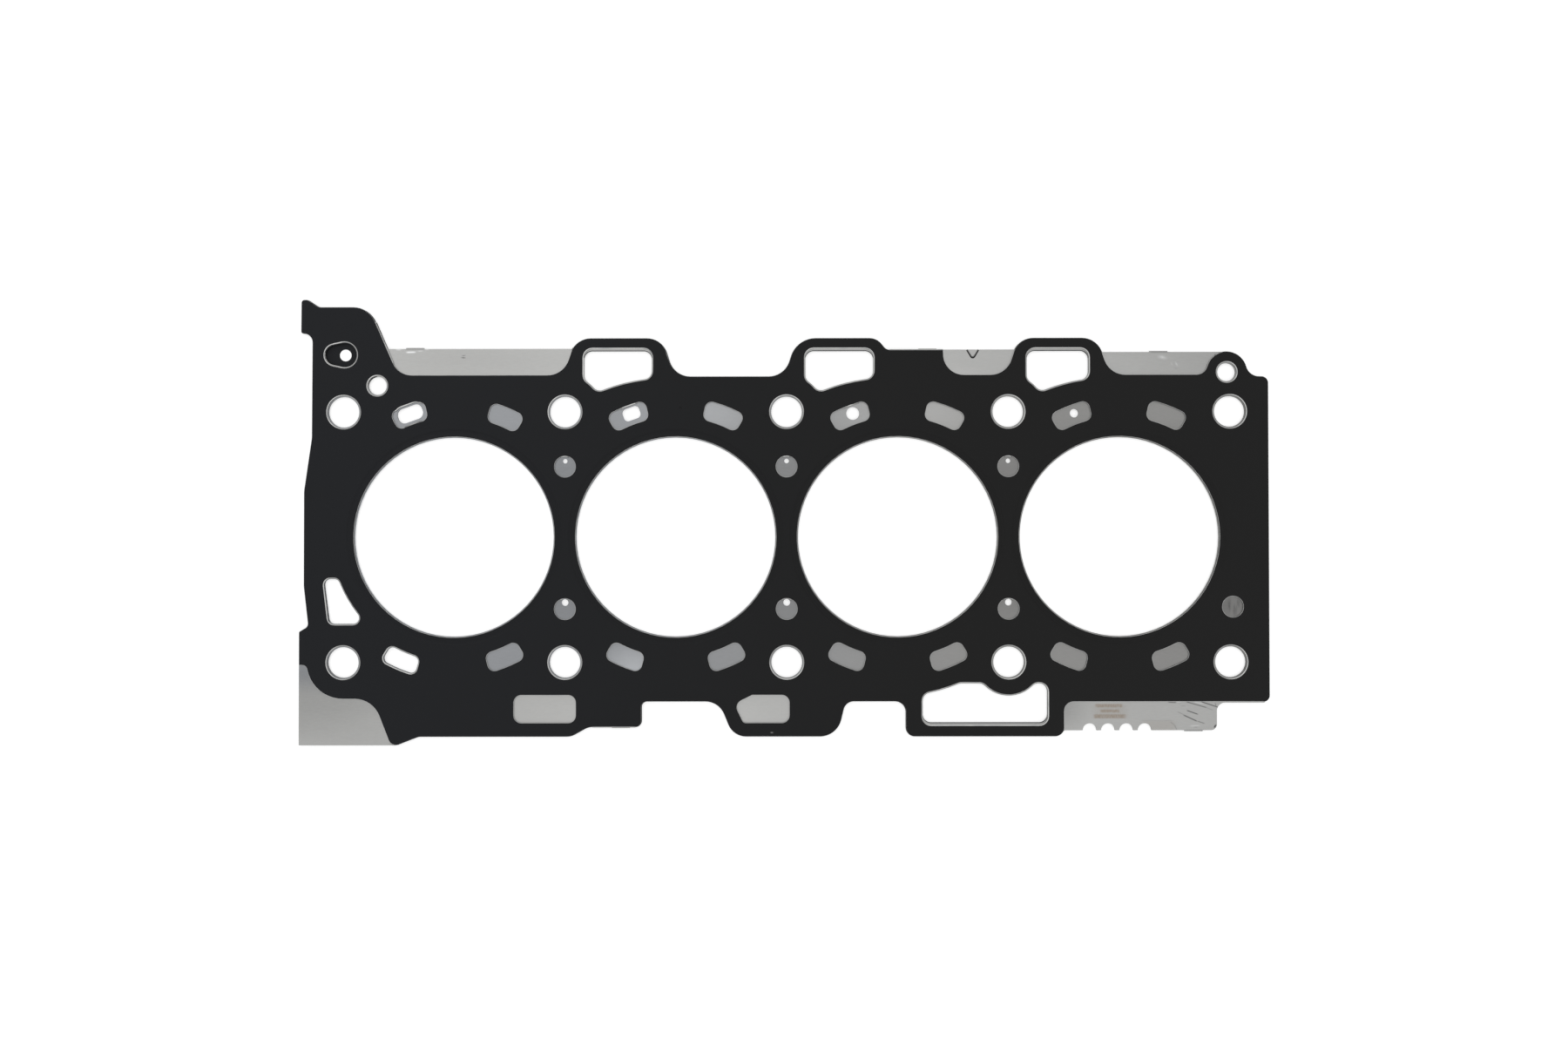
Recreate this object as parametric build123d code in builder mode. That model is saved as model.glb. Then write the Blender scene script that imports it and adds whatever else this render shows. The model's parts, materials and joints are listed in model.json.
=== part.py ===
from build123d import *
from math import degrees, radians, tan
import os

# Multi-layer steel head gasket of an in-line four-cylinder engine: two thin beaded
# sheets with a black rubber coating, a bare steel spacer plate between them and a
# stopper ring welded to the spacer round each bore.
#
# Frame: the origin is the middle of the head-bolt pattern on the block face, +X runs
# along the row of cylinders, +Y towards the gallery side, where the tabs stand, and
# +Z up to the cylinder head. -Y is the sump side, with the thickness notches.

# ---- block pattern ----
cylinders = 4
bore_pitch = 96.0
bore_bridge = 9.8  # web of the spacer between neighbouring bores
bore_d = bore_pitch - bore_bridge  # spacer and stopper rings
bolt_row = bore_pitch / 2 + 6.25  # bolt rows either side of the bore line
bolt_hole_d = 13.3  # spacer, for an M12 stretch bolt
bore_clearance = 0.5  # the coated sheets stand back from the bore wall
bolt_clearance = 0.9  # ... from the bolt holes
port_ledge = 0.65  # ... and from the edge of each open port
far_ledge = 1.4  # ... on the side of a port that lies away from the bores
half_row = bore_pitch * cylinders / 2
columns = [i * bore_pitch - half_row for i in range(cylinders + 1)]  # of head bolts
bores = [x + bore_pitch / 2 for x in columns[:-1]]
first, second, middle, fourth, last = columns

# ---- thicknesses and levels ----
sheet_t = 0.25
spacer_t = 0.75
stopper_t = 0.12
bead_h = 0.25
spacer_z = sheet_t + bead_h
spacer_top = spacer_z + spacer_t
upper_z = spacer_top + bead_h

# ---- combustion beads and stoppers ----
sheet_bore_r = bore_d / 2 + bore_clearance
bead_offset = 2.1  # bore wall of the sheets to the middle of the bead
bead_r = sheet_bore_r + bead_offset
bead_w = 2.4
bead_crest_w = 0.8
stopper_w = 1.4

# ---- weld points between the sheets and the spacer ----
weld_foot_r = 0.8
weld_tip_r = 0.3
weld_points = ((bores[1] + 2.0, bolt_row + 1.55), (middle - 8.9, bolt_row - 1.85))

# ---- coolant windows, rounded sectors round each bore ----
window_r = bore_d / 2 + 13.3
window_w = 8.7
window_corner = 3.1
window_span_up, window_span_down = 17.1, 16.2  # degrees, gallery side and sump side
window_swing_up, window_swing_down = 21.2, 22.8  # degrees from the Y axis
end_window_spans = (15.2, 15.0)  # gallery side of the first bore, left and right
end_window_swings = (20.0, -22.9)
corner_window_r = window_r + 1.65  # the open window beside the first bolt of the sump side
corner_window_swing = 23.2
corner_window_span = 15.7

# ---- metering openings of the spacer, inside the gallery-side windows ----
meter_r = window_r + 0.5
meter_swing = 19.8
slot_l, slot_w, slot_corner = 11.2, 6.5, 2.8
short_slot_l, short_slot_w, short_slot_corner = 7.6, 5.5, 1.9
slot_margin = 1.1  # the coated sheets bulge round the two slots
meter_hole_d = (5.6, 3.7)  # third and fourth cylinder

# ---- round ports between the bores ----
upper_port_y = 30.5
lower_port_y = -31.2
round_port_d = 9.4
upper_meter_d, upper_meter_rise = 2.0, 2.4
lower_meter_d, lower_meter_rise = 2.9, 2.8
end_round_port = (last + 1.0, lower_port_y + 0.8)  # beside the last bore, over plain steel

# ---- dowel holes ----
dowel_d = 7.8  # spacer
dowel_clearance = 0.85
left_dowel = (first + 14.6, bolt_row + 11.45)
right_dowel = (last - 1.2, bolt_row + 17.05)

# ---- oil feed, an egg-shaped pocket over a round hole in the lower sheet ----
feed_x = first + 0.3
feed_y = bolt_row + 24.85
feed_hole_d = 5.1
feed_r = 5.9
feed_tail_r = 5.05
feed_tail = 4.05

# ---- gallery side: deck, tabs and their ports ----
deck_top = bolt_row + 15.87
open_valley = deck_top - 0.8  # between the first two tabs, where no spacer strip shows
tab_top = deck_top + 15.85
ledge_top = deck_top + 10.8  # step beside the middle tab
tab_start = 2.0  # middle of the near flank, from the bolt column
first_tab_end = 44.6  # middle of the far flank, from the bolt column
last_tab_end = 41.3
flank_lean = 18.3  # degrees from upright
tab_r, tab_root_r = 9.0, 9.7
middle_tab_shoulder_r = 11.0
middle_tab_slope_start = middle + 39.0  # the middle tab slopes down to its ledge
middle_tab_slope_end = middle_tab_slope_start + 4.2
ledge_end = fourth - 27.7
port_start = 7.6
port_top = tab_top - 3.9
port_l = 30.6
last_port_l = 27.9
port_r = 4.2
bolt_land_r = 15.6
port_floor_r = bore_d / 2 + 32.35  # round a point beside the bore's centre
port_floor_x, port_floor_y = -4.0, -7.0

# ---- end port ----
end_land_r = bore_d / 2 + 9.7  # land round the first bore, beside the port
end_port_bottom, end_port_top = -38.15, -17.45
end_port_foot = bores[0] - end_land_r - 1.85
end_port_head = end_port_foot - 2.5
end_port_r = 3.2

# ---- sump side: deck, blocks, port and blank windows ----
deck_bottom = -bolt_row - 16.7
end_deck_bottom = deck_bottom - 0.3  # over the bar and beyond it
block_bottom = deck_bottom - 15.15
step_bottom = deck_bottom - 11.0
sump_top, sump_bottom = deck_bottom + 8.1, block_bottom + 4.3
sump_left, sump_right = bores[2] + 10.2, fourth + 17.3
sump_wall = 6.5  # left and right of the port
sump_bore_land_r = bore_d / 2 + 25.2
sump_bolt_land_r = 13.95
sump_r = 4.2
blank_top, blank_bottom = deck_bottom + 2.65, block_bottom + 5.6
blank_left, blank_right = second - 22.2, second + 4.8
cut_blank_left, cut_blank_right = middle - 22.8, middle + 1.2  # its left end is slanted
blank_r = 3.4
cut_blank_slant = 7.8  # of its left end, along the top
cut_blank_foot = 4.0  # ... along the bottom
cut_blank_cheek = 3.9  # ... down to the left-most point
middle_block_left, middle_block_right = middle - 23.0, middle + 21.6
middle_block_flank = 6.2  # of its sloping left flank
first_block_left, first_block_right = first + 32.7, second + 2.7
step_right = second + 32.95
step_slope = 7.4  # from the foot of the first block to the step

# ---- ends of the plate ----
horn_top = deck_top + 32.7
shelf_top = deck_top + 29.5
horn_foot = shelf_top - 10.8
end_x = last + 16.6
shoulder_y = deck_top - 0.95  # right-hand corner
corner_shelf = -bolt_row - 0.95  # below it the corner bolt's land stands clear
corner_edge = first - 18.9  # left-hand edge there
corner_toe, corner_drop = 1.7, 0.55  # lowest point of the sheets, past the spacer's corner
corner_blend_r = 2.4
left_edge = first - 16.9  # beside the first bore
left_edge_bottom, left_edge_top = -21.2, 20.0
waist = first - 13.4  # above the first bore, under the horn
waist_bottom = 43.0
horn_edge = first - 18.25
lug_r = 8.7  # round the right-hand dowel
lug_blend_r, shoulder_blend_r = 5.0, 6.0

# ---- spacer beyond the coated sheets ----
spacer_margin = 0.3
lap = 2.0  # of a strip under the sheets
first_strip_top = ledge_top + 0.8
strip_top = ledge_top + spacer_margin
last_strip_top = right_dowel[1] + lug_r + 0.1
rim = 0.95  # of the spacer past the sheets, between the bar and the end
corner_right = first + 22.8
corner_bottom = block_bottom - 3.95
bar_bottom = deck_bottom - 12.85
bar_end = last - 6.0
bar_corner_r = 2.6
bar_root_r = 3.6
strip_root_r = 1.5
notches = 4
notch_pitch = 7.93
notch_r = 3.0
first_notch = fourth + 34.95
stub_l, stub_h = 7.8, 0.45
stub_spots = (  # left to right on the gallery side, then on the sump side
    (first + 30.8, first_strip_top),
    (fourth - 34.8, strip_top),
    (fourth + 65.4, last_strip_top),
    (second + 24.2, step_bottom - spacer_margin),
    (bar_end - 10.1, bar_bottom),
)
mark_x = fourth - 15.2
mark_w, mark_drop = 6.0, 3.8
mark_r = 1.2
mark_line, mark_depth = 0.5, 0.25


def flanks(start, end, left_root=deck_top, right_root=deck_top, shoulder_r=tab_r):
    """Four corners of a tab with leaning flanks, given the middle of each flank."""
    run = (tab_top - deck_top) / 2 * tan(radians(flank_lean))
    return [
        (start - run, left_root, tab_root_r),
        (start + run, tab_top, shoulder_r),
        (end - run, tab_top, tab_r),
        (end + run, right_root, tab_root_r),
    ]


# The corners of the coated sheets, clockwise from the end horn, each with its radius.
horn = [
    (horn_edge, horn_top, 1.0),
    (horn_edge + 2.6, horn_top, 3.0),
    (first - 10.9, shelf_top, 3.0),
    (first + 10.7, shelf_top, 10.5),
    (first + 23.6, deck_top, 9.0),
]
first_tab = flanks(second + tab_start, second + first_tab_end, right_root=open_valley)
middle_tab = [
    *flanks(middle + tab_start, middle, left_root=open_valley, shoulder_r=middle_tab_shoulder_r)[:2],
    (middle_tab_slope_start, tab_top, 6.5),
    (middle_tab_slope_end, ledge_top, 3.0),
    (ledge_end - 0.5, ledge_top, 0),
    (ledge_end, deck_top, tab_r),
]
last_tab = flanks(fourth + tab_start, fourth + last_tab_end)
right_end = [
    (right_dowel[0], deck_top, 0),
    (right_dowel[0], shoulder_y, 0),
    (end_x, shoulder_y, 2.6),
    (end_x, end_deck_bottom, 2.4),
]
sump_blocks = [
    (sump_right + sump_wall, end_deck_bottom, 4.2),
    (sump_right + sump_wall, block_bottom, 3.8),
    (sump_left - sump_wall, block_bottom, 3.6),
    (sump_left - sump_wall, deck_bottom, 5.0),
    (middle_block_right + 3.6, deck_bottom, 4.8),
    (middle_block_right, block_bottom, 9.2),
    (middle_block_left, block_bottom, 8.0),
    (middle_block_left - middle_block_flank, deck_bottom, 9.0),
    (step_right, deck_bottom, 2.6),
    (step_right, step_bottom, 2.4),
    (first_block_right + step_slope, step_bottom, 7.0),
    (first_block_right, block_bottom, 7.0),
    (first_block_left, block_bottom, 4.0),
    (corner_right - corner_toe, corner_bottom - corner_drop, 3.2),
    (first + bolt_land_r - 2.6, -bolt_row - bolt_land_r, 11.6),
]
left_end = [
    (first, -bolt_row - bolt_land_r, 0),
    (first, corner_shelf, 0),
    (corner_edge, corner_shelf, 0),
    (corner_edge, end_port_bottom - 3.0, 0.5),
    (corner_edge + 4.0, end_port_bottom - 0.6, 2.6),
    (left_edge, left_edge_bottom, 15.0),
    (left_edge, left_edge_top, 12.0),
    (waist - 0.2, waist_bottom, 12.0),
    (waist, horn_foot - 0.2, 4.2),
    (horn_edge - 0.1, horn_foot, 0.6),
]
corners = horn + first_tab + middle_tab + last_tab + right_end + sump_blocks + left_end

with BuildSketch() as sheet_outline:
    with BuildLine():
        FilletPolyline([(x, y) for x, y, r in corners], radius=[r for x, y, r in corners], close=True)
    make_face()
    # lands round the corner bolt and the right-hand dowel, blended into the edge
    with Locations((first, -bolt_row)):
        Circle(bolt_land_r)
    with Locations(right_dowel):
        Circle(lug_r)
    blends = [
        ((first - bolt_land_r, corner_shelf), corner_blend_r),
        ((right_dowel[0] - lug_r, deck_top), lug_blend_r),
        ((right_dowel[0] + lug_r, shoulder_y), shoulder_blend_r),
    ]
    for spot, radius in blends:
        fillet(sheet_outline.vertices().sort_by_distance(spot)[0], radius)


def window(radius, span, ledge=0):
    """A coolant window above the bore's centre: a rounded sector, drawn in all round by a ledge."""
    turn = span - 2 * degrees(ledge / radius)
    with BuildSketch() as sector:
        with BuildLine():
            outer = CenterArc((0, 0), radius + window_w / 2 - ledge, 90 - turn / 2, turn)
            inner = CenterArc((0, 0), radius - window_w / 2 + ledge, 90 - turn / 2, turn)
            Line(outer @ 0, inner @ 0)
            Line(outer @ 1, inner @ 1)
        make_face()
        fillet(sector.vertices(), window_corner - ledge)
    return sector.sketch


def gallery_port(length, ledge):
    """The port of a tab, from its bolt column: a rectangle cut back to the lands of bolt and bore."""
    with BuildSketch() as port:
        with Locations((port_start + ledge, port_top - ledge * far_ledge / port_ledge)):
            Rectangle(length - 2 * ledge, port_top - bolt_row, align=(Align.MIN, Align.MAX))
        with Locations((0, bolt_row)):
            Circle(bolt_land_r + ledge, mode=Mode.SUBTRACT)
        with Locations((bore_pitch / 2 + port_floor_x, port_floor_y)):
            Circle(port_floor_r + ledge, mode=Mode.SUBTRACT)
        fillet(port.vertices(), port_r - ledge)
    return port.sketch


def end_port(ledge):
    """The tall port beside the first bore, cut back to the bore's land."""
    with BuildSketch() as port:
        with BuildLine():
            Polyline(
                (end_port_foot + ledge, end_port_bottom + ledge),
                (end_port_head + ledge, end_port_top - ledge),
                (bores[0], end_port_top - ledge),
                (bores[0], end_port_bottom + ledge),
                close=True,
            )
        make_face()
        with Locations((bores[0], 0)):
            Circle(end_land_r + ledge, mode=Mode.SUBTRACT)
        fillet(port.vertices(), end_port_r - ledge)
    return port.sketch


def sump_port(ledge):
    """The long port on the sump side, cut back to the lands of a bore and of the bolt beside it."""
    foot = sump_bottom + ledge * far_ledge / port_ledge
    with BuildSketch() as port:
        with Locations(((sump_left + sump_right) / 2, foot)):
            size = sump_right - sump_left - 2 * ledge, sump_top - ledge - foot
            Rectangle(*size, align=(Align.CENTER, Align.MIN))
        with Locations((bores[2], 0)):
            Circle(sump_bore_land_r + ledge, mode=Mode.SUBTRACT)
        with Locations((fourth, -bolt_row)):
            Circle(sump_bolt_land_r + ledge, mode=Mode.SUBTRACT)
        fillet(port.vertices(), sump_r - ledge)
    return port.sketch


def open_ports(ledge=0):
    """The ports open through every layer, drawn in all round by a ledge."""
    with BuildSketch() as ports:
        for column, length in ((second, port_l), (middle, port_l), (fourth, last_port_l)):
            with Locations((column, 0)):
                add(gallery_port(length, ledge))
        with Locations(Location((bores[0], 0, 0), (0, 0, 180 - corner_window_swing))):
            add(window(corner_window_r, corner_window_span, ledge))
        add(end_port(ledge))
        add(sump_port(ledge))
    return ports.sketch


def slots(margin=0):
    """The metering slots of the first two windows, grown all round by a margin."""
    sizes = (slot_l, slot_w, slot_corner), (short_slot_l, short_slot_w, short_slot_corner)
    with BuildSketch() as holes:
        for bore, (length, width, corner) in zip(bores, sizes):
            turned = Location((bore, 0, 0), (0, 0, meter_swing))
            with Locations(turned * Location((0, meter_r, 0))):
                RectangleRounded(length + 2 * margin, width + 2 * margin, corner + margin)
    return holes.sketch


def feed_pocket(margin=0):
    """The egg-shaped oil feed: the hull of a round head and a smaller tail."""
    with BuildSketch() as egg:
        with Locations((feed_x, feed_y)):
            Circle(feed_r - margin)
        with Locations((feed_x - feed_tail, feed_y)):
            Circle(feed_tail_r - margin)
        make_hull()
    return egg.sketch


# Openings of the coated sheets, larger than those of the spacer or over plain steel.
with BuildSketch() as sheet_openings:
    with GridLocations(bore_pitch, 0, cylinders, 1):
        Circle(sheet_bore_r)
    with GridLocations(bore_pitch, 2 * bolt_row, cylinders + 1, 2):
        Circle(bolt_hole_d / 2 + bolt_clearance)
    with Locations(left_dowel, right_dowel):
        Circle(dowel_d / 2 + dowel_clearance)
    with Locations(*[(x, y) for x in columns[1:-1] for y in (upper_port_y, lower_port_y)], end_round_port):
        Circle(round_port_d / 2)
    windows = [(bores[0], swing, span) for swing, span in zip(end_window_swings, end_window_spans)]
    windows += [(bore, sign * window_swing_up, window_span_up) for bore in bores[1:] for sign in (1, -1)]
    windows += [(bore, 180 + window_swing_down, window_span_down) for bore in bores]
    windows += [(bore, 180 - window_swing_down, window_span_down) for bore in bores[1:]]
    for bore, swing, span in windows:
        with Locations(Location((bore, 0, 0), (0, 0, swing))):
            add(window(window_r, span))
    add(slots(slot_margin))
    add(open_ports())
    with Locations(((blank_left + blank_right) / 2, (blank_top + blank_bottom) / 2)):
        RectangleRounded(blank_right - blank_left, blank_top - blank_bottom, blank_r)
    with BuildLine():
        FilletPolyline(
            (cut_blank_left + cut_blank_slant, blank_top),
            (cut_blank_right, blank_top),
            (cut_blank_right, blank_bottom),
            (cut_blank_left + cut_blank_foot, blank_bottom),
            (cut_blank_left, blank_top - cut_blank_cheek),
            radius=(blank_r / 2, blank_r, blank_r, blank_r / 2, blank_r),
            close=True,
        )
    make_face()

# The spacer follows the coated sheets a little proud of them, and reaches past them in
# three strips on the gallery side, in one corner and in the bar with the notches.
with BuildSketch() as spacer_outline:
    add(sheet_outline.sketch)
    offset(amount=spacer_margin)
    strips = [
        (first + bolt_land_r, second + tab_start + lap, deck_top - lap, first_strip_top),
        (ledge_end - lap, fourth + tab_start + lap, deck_top - lap, strip_top),
        (fourth + last_tab_end - lap, right_dowel[0], deck_top - lap, last_strip_top),
        (corner_edge - spacer_margin, corner_right, corner_bottom, -bolt_row),
        (sump_right + lap, bar_end, bar_bottom, deck_bottom + lap),
        (sump_right + lap, end_x - lap, deck_bottom - rim, deck_bottom + lap),
    ]
    for left, right, bottom, top in strips:
        with Locations((left, bottom)):
            Rectangle(right - left, top - bottom, align=(Align.MIN, Align.MIN))
    rounds = [
        ((bar_end, bar_bottom), bar_corner_r),
        ((bar_end, deck_bottom - rim), bar_root_r),
        ((first + 18.9, first_strip_top), strip_root_r),
    ]
    for spot, radius in rounds:
        fillet(spacer_outline.vertices().sort_by_distance(spot)[0], radius)
    # stubs of the webs that carried the plate in its strip
    with Locations(*stub_spots):
        Rectangle(stub_l, 2 * stub_h)
    # one notch more for each thickness grade
    with Locations(*[(first_notch + i * notch_pitch, bar_bottom) for i in range(notches)]):
        Circle(notch_r, mode=Mode.SUBTRACT)

with BuildSketch() as spacer_openings:
    with GridLocations(bore_pitch, 0, cylinders, 1):
        Circle(bore_d / 2)
    with GridLocations(bore_pitch, 2 * bolt_row, cylinders + 1, 2):
        Circle(bolt_hole_d / 2)
    with Locations(left_dowel, right_dowel):
        Circle(dowel_d / 2)
    with Locations(*[(x, upper_port_y + upper_meter_rise) for x in columns[1:-1]]):
        Circle(upper_meter_d / 2)
    with Locations(*[(x, lower_port_y + lower_meter_rise) for x in columns[1:-1]]):
        Circle(lower_meter_d / 2)
    for bore, diameter in zip(bores[2:], meter_hole_d):
        with Locations(Location((bore, 0, 0), (0, 0, meter_swing)) * Location((0, meter_r, 0))):
            Circle(diameter / 2)
    add(slots())
    add(feed_pocket(port_ledge))
    add(open_ports(port_ledge))

# The beaded sheet before its oil feed is cut, lying as the upper one does: the full
# bead round each bore is pressed down, its flat crest on the spacer.
with BuildPart() as bead:
    with BuildSketch(Plane.XZ):
        with BuildLine():
            lower = [
                (bead_r - bead_w / 2, 0),
                (bead_r - bead_crest_w / 2, -bead_h),
                (bead_r + bead_crest_w / 2, -bead_h),
                (bead_r + bead_w / 2, 0),
            ]
            Polyline(lower + [(radius, height + sheet_t) for radius, height in reversed(lower)], close=True)
        make_face()
    revolve()

with BuildPart() as bead_sheet:
    with BuildSketch():
        add(sheet_outline.sketch)
        add(sheet_openings.sketch, mode=Mode.SUBTRACT)
        with GridLocations(bore_pitch, 0, cylinders, 1):
            Circle(bead_r + bead_w / 2, mode=Mode.SUBTRACT)
            Circle(bead_r - bead_w / 2)
            Circle(sheet_bore_r, mode=Mode.SUBTRACT)
    extrude(amount=sheet_t)
    with GridLocations(bore_pitch, 0, cylinders, 1):
        add(bead.part)
    # weld points, dimpled to the spacer
    base = (Align.CENTER, Align.CENTER, Align.MIN)
    with Locations(*[(x, y, -bead_h) for x, y in weld_points]):
        Cone(weld_tip_r, weld_foot_r, bead_h, align=base)
    with Locations(*[(x, y, sheet_t - bead_h) for x, y in weld_points]):
        Cone(weld_tip_r, weld_foot_r, bead_h, align=base, mode=Mode.SUBTRACT)

os.makedirs("parts", exist_ok=True)

with BuildPart() as upper_bead_layer:
    with Locations((0, 0, upper_z)):
        add(bead_sheet.part)
    with BuildSketch(Plane.XY.offset(upper_z)):
        add(feed_pocket())
    extrude(amount=sheet_t, mode=Mode.SUBTRACT)
upper_bead_layer.part.label = "upper_bead_layer"
export_step(upper_bead_layer.part, "parts/upper_bead_layer.step")

with BuildPart() as lower_bead_layer:
    with Locations((0, 0, sheet_t)):
        add(mirror(bead_sheet.part, about=Plane.XY, mode=Mode.PRIVATE))
    with BuildSketch():
        with Locations((feed_x, feed_y)):
            Circle(feed_hole_d / 2)
    extrude(amount=sheet_t, mode=Mode.SUBTRACT)
lower_bead_layer.part.label = "lower_bead_layer"
export_step(lower_bead_layer.part, "parts/lower_bead_layer.step")

with BuildPart() as spacer_plate:
    with BuildSketch(Plane.XY.offset(spacer_z)):
        add(spacer_outline.sketch)
        add(spacer_openings.sketch, mode=Mode.SUBTRACT)
    extrude(amount=spacer_t)
    # the V mark scribed at the edge
    with BuildSketch(Plane.XY.offset(spacer_top)) as mark:
        with BuildLine():
            Polyline(
                (mark_x - mark_w, strip_top + mark_drop + mark_r),
                (mark_x, strip_top - mark_drop - mark_r),
                (mark_x + mark_w, strip_top + mark_drop + mark_r),
                close=True,
            )
        make_face()
        fillet(mark.vertices().sort_by(Axis.Y)[0], mark_r)
        offset(amount=-mark_line, mode=Mode.SUBTRACT)
    extrude(amount=-mark_depth, mode=Mode.SUBTRACT)
spacer_plate.part.label = "spacer_plate"
export_step(spacer_plate.part, "parts/spacer_plate.step")

with BuildPart() as stopper_rings:
    with BuildSketch(Plane.XY.offset(spacer_top)):
        with GridLocations(bore_pitch, 0, cylinders, 1):
            Circle(bore_d / 2 + stopper_w)
            Circle(bore_d / 2, mode=Mode.SUBTRACT)
    extrude(amount=stopper_t)
stopper_rings.part.label = "stopper_rings"
export_step(stopper_rings.part, "parts/stopper_rings.step")
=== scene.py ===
"""Dresses the four-cylinder head gasket: coated sheets, bare steel spacer, cut edges and stage."""

import json
from math import radians

import bpy
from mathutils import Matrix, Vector

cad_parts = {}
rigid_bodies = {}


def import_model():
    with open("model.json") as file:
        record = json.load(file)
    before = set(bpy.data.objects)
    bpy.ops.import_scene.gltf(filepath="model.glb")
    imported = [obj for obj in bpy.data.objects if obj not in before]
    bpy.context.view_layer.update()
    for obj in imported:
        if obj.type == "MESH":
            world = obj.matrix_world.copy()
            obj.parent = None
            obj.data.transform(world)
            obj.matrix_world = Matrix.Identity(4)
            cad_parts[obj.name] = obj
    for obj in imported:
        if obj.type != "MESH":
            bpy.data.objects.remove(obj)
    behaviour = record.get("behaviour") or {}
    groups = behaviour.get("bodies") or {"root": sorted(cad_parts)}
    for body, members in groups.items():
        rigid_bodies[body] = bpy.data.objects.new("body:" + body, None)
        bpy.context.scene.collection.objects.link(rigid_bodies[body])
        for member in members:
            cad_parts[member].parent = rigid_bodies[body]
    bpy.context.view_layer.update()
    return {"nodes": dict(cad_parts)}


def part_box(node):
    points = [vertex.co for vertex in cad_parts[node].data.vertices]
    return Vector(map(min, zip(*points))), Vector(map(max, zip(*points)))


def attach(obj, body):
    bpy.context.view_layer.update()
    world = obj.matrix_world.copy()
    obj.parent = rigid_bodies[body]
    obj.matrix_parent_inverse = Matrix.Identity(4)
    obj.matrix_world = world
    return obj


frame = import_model()

bl_info = {
    "name": "Cylinder Head Gasket",
    "version": (1, 0, 0),
    "blender": (4, 5, 0),
    "location": "View3D > Sidebar > Gasket",
    "description": "Finishes a multi-layer steel head gasket and sets it on a pale studio floor",
    "category": "Object",
}

MM = 0.001
COATED_SHEETS = ("upper_bead_layer", "lower_bead_layer")
BARE_PLATES = ("spacer_plate", "stopper_rings")
UPPER_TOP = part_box("upper_bead_layer")[1].z
SPACER_LOW, SPACER_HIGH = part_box("spacer_plate")
LENGTH_HALF = SPACER_HIGH.x

# Where the openings are, for the bands along their walls.
BORE_PITCH = 96 * MM
BORE_AXES = tuple((place - 1.5) * BORE_PITCH for place in range(4))
BORE_REACH = 46 * MM
PORT_ROWS_Y = 66 * MM
DOWEL_LEFT_X = -166 * MM
DOWEL_LEFT_REACH = 12 * MM
DOWEL_RIGHT_FROM_X = 165 * MM
END_PORT_TO_X = -196 * MM
END_PORT_Y = -28 * MM
END_PORT_REACH = 14 * MM
ROUND_END_PORT = (193.0, -30.4)

# How far from a sheet's wall, and from the spacer's, the other is looked for.
LOOK_FROM = 3 * MM
LEDGE_LEAST = 0.4 * MM
LEDGE_MOST = 1.7 * MM
RIM_MOST = 0.55 * MM
# How far the painted shade rims stand proud of the plate, so that they show.
PORT_RIM_LIFT = 0.004 * MM
OUTLINE_RIM_LIFT = 0.006 * MM

METALLIC = 0.85
# Painted shade in the scribed groove.
SCRIBED_GROOVE_SHADE = (0.01, 0.01, 0.01)
FLOOR_TONE = (0.6, 0.6, 0.6, 1.0)
FLOOR_GLOW = 0.56
FLOOR_DROP = 0.03 * MM
# Lamps: name, place, side and share of the power, in metres.
LAMPS = (
    ("soft_key", (-0.5, 0.9, 1.3), 1.4, 1.0),
    ("soft_fill", (0.7, -0.9, 1.2), 1.4, 0.5),
)

# Marks on the plates: place x and y, turn in degrees, length and width, all in millimetres,
# then how far the edge is softened, how broken the mark is and how strong.
DARK_SCUFFS = (
    (166.7, -71.8, -2.0, 3.0, 0.3, 0.3, 0.2, 0.6),
    (169.8, -72.0, -4.0, 1.2, 0.2, 0.4, 0.2, 0.2),
    (177.2, -72.8, -15.8, 8.6, 0.22, 0.32, 0.12, 0.75),
    (182.6, -74.5, -21.0, 3.6, 0.2, 0.3, 0.2, 0.25),
    (182.9, -72.7, -18.3, 7.4, 0.28, 0.3, 0.1, 0.8),
    (185.5, -72.9, -75.0, 1.2, 0.25, 0.3, 0.0, 0.5),
    (175.4, -76.1, -19.4, 4.6, 0.25, 0.28, 0.1, 0.9),
    (170.6, -76.6, -24.6, 3.0, 0.15, 0.3, 0.2, 0.35),
    (174.5, -78.6, -24.6, 6.0, 0.28, 0.3, 0.1, 0.85),
    (179.1, -80.4, -18.4, 2.8, 0.2, 0.3, 0.1, 0.6),
    (171.5, -73.3, 0.0, 1.2, 0.2, 0.4, 0.1, 0.22),
    (176.9, -82.5, 0.0, 0.8, 0.2, 0.45, 0.0, 0.35),
    (185.2, -82.1, 58.0, 1.0, 0.5, 0.28, 0.0, 1.0),
    (160.0, -79.6, 0.0, 13.0, 0.1, 0.4, 0.3, 0.16),
    (166.9, -81.0, -37.1, 1.8, 0.2, 0.4, 0.1, 0.3),
    (168.1, -82.5, -62.5, 2.1, 0.2, 0.4, 0.1, 0.35),
    (-140.1, 78.8, 6.0, 1.0, 0.2, 0.3, 0.0, 0.55),
    (-140.2, 77.9, -4.0, 1.1, 0.3, 0.35, 0.0, 0.7),
    (169.0, 73.0, 0.0, 1.0, 0.2, 0.5, 0.1, 0.14),
)
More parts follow.
